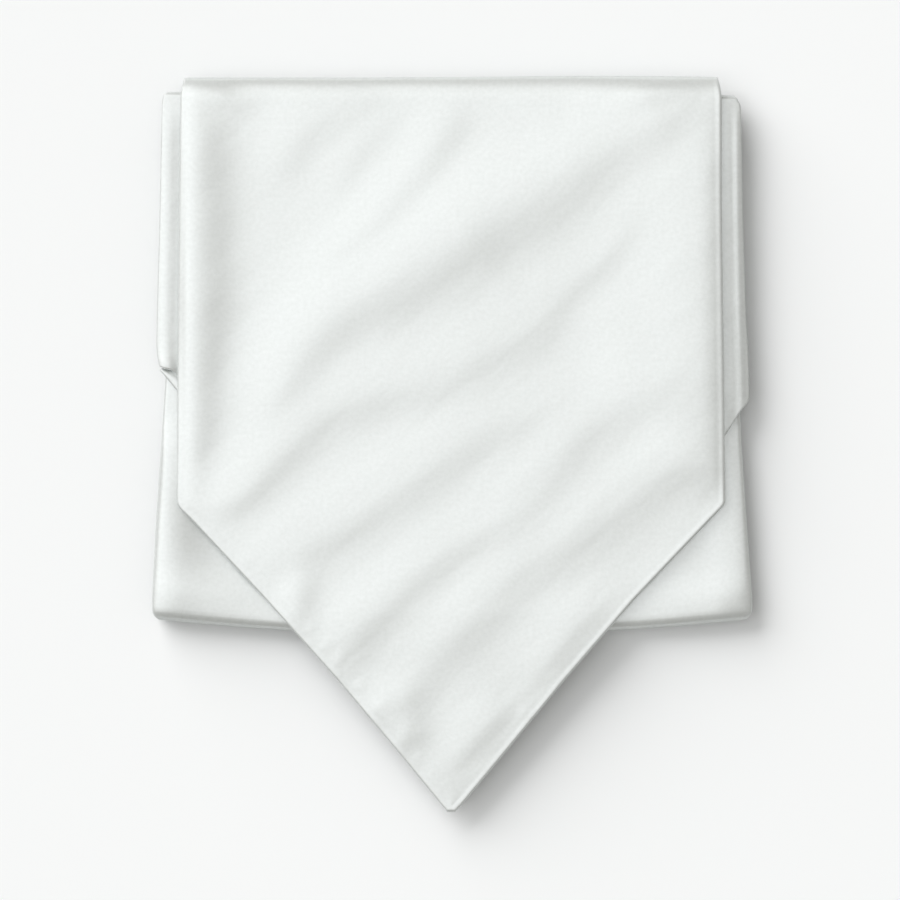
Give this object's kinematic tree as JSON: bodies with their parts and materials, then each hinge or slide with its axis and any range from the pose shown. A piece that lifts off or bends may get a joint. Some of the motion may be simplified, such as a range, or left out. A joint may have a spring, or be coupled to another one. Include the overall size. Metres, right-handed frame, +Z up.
{
  "type": "folded ascot tie",
  "caption": "Wide satin ascot tie folded into a flat packet, its pointed front blade lying on top and hanging past the bottom fold.",
  "frame": {"origin": "on the surface it lies on, under the middle of the packet's bounding box", "axes": "+Z up from the surface, +Y towards the top fold and away from the front blade's point, +X to the right as the front is seen"},
  "size_m": [0.1662, 0.2031, 0.0115],
  "materials": {
    "pale_satin": "smooth pale silver-white satin with a soft sheen"
  },
  "bodies": {
    "root": {"front_blade": "pale_satin", "second_blade": "pale_satin", "second_blade_hem": "pale_satin", "lower_fold": "pale_satin", "folded_layers": "pale_satin"}
  },
  "joints": []
}
